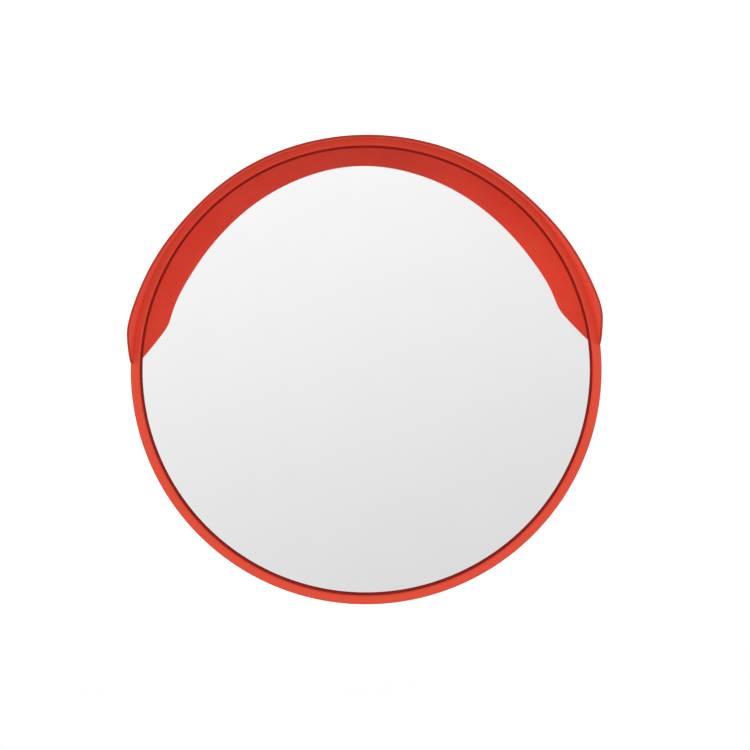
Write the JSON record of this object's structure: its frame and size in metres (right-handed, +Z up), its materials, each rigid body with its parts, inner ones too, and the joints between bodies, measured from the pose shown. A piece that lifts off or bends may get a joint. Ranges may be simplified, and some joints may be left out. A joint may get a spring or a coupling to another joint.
{
  "type": "traffic convex mirror",
  "caption": "Round outdoor convex traffic mirror with a half visor, on a bracket that pans and tilts and clamps to a pole.",
  "frame": {"origin": "on the axis of the pole that it clamps to, midway between the two U-bolts and level with the mirror's centre", "axes": "+Z up along the pole, the mirror faces -Y, +X is to the right of someone who looks into the mirror"},
  "size_m": [0.5992, 0.3775, 0.6028],
  "materials": {
    "mirrored_acrylic": "domed acrylic sheet, mirror coated, very smooth",
    "orange_plastic": "moulded orange-red plastic, satin gloss",
    "seal_rubber": "dark extruded rubber",
    "galvanised_steel": "hot-dip galvanised steel, dull spangle",
    "zinc_plated_steel": "bright zinc plating"
  },
  "bodies": {
    "pole_bracket": {"mast_bracket": "galvanised_steel", "pan_bolt": "zinc_plated_steel", "pan_nut": "zinc_plated_steel", "pan_washer_1": "zinc_plated_steel", "pan_washer_2": "zinc_plated_steel", "pole_saddle_upper": "galvanised_steel", "pole_saddle_lower": "galvanised_steel", "u_bolt_upper": "zinc_plated_steel", "u_bolt_lower": "zinc_plated_steel", "u_bolt_washer_1": "zinc_plated_steel", "u_bolt_washer_2": "zinc_plated_steel", "u_bolt_washer_3": "zinc_plated_steel", "u_bolt_washer_4": "zinc_plated_steel", "u_bolt_nut_1": "zinc_plated_steel", "u_bolt_nut_2": "zinc_plated_steel", "u_bolt_nut_3": "zinc_plated_steel", "u_bolt_nut_4": "zinc_plated_steel"},
    "knuckle": {"knuckle": "galvanised_steel"},
    "mirror_head": {"mirror_face": "mirrored_acrylic", "edge_seal": "seal_rubber", "bezel_ring": "orange_plastic", "back_shell": "orange_plastic", "visor": "orange_plastic", "visor_screw_1": "zinc_plated_steel", "visor_screw_2": "zinc_plated_steel", "visor_screw_3": "zinc_plated_steel", "visor_screw_4": "zinc_plated_steel", "visor_screw_5": "zinc_plated_steel", "visor_screw_6": "zinc_plated_steel", "visor_screw_7": "zinc_plated_steel", "bezel_screw_1": "zinc_plated_steel", "bezel_screw_2": "zinc_plated_steel", "bezel_screw_3": "zinc_plated_steel", "bezel_screw_4": "zinc_plated_steel", "bezel_screw_5": "zinc_plated_steel", "backing_plate": "galvanised_steel", "tilt_yoke": "galvanised_steel", "mount_bolt_1": "zinc_plated_steel", "mount_bolt_2": "zinc_plated_steel", "mount_bolt_3": "zinc_plated_steel", "mount_bolt_4": "zinc_plated_steel", "mount_washer_1": "zinc_plated_steel", "mount_washer_2": "zinc_plated_steel", "mount_washer_3": "zinc_plated_steel", "mount_washer_4": "zinc_plated_steel", "mount_nut_1": "zinc_plated_steel", "mount_nut_2": "zinc_plated_steel", "mount_nut_3": "zinc_plated_steel", "mount_nut_4": "zinc_plated_steel", "tilt_bolt": "zinc_plated_steel", "tilt_nut": "zinc_plated_steel", "tilt_washer_1": "zinc_plated_steel", "tilt_washer_2": "zinc_plated_steel"}
  },
  "joints": [
    {"name": "pan", "type": "hinge", "parent": "pole_bracket", "child": "knuckle", "pos_m": [0, -0.098, 0], "axis": [0, 0, 1], "range_deg": [-30, 30]},
    {"name": "tilt", "type": "hinge", "parent": "knuckle", "child": "mirror_head", "pos_m": [0, -0.142, 0], "axis": [1, 0, 0], "range_deg": [-20, 20]}
  ]
}
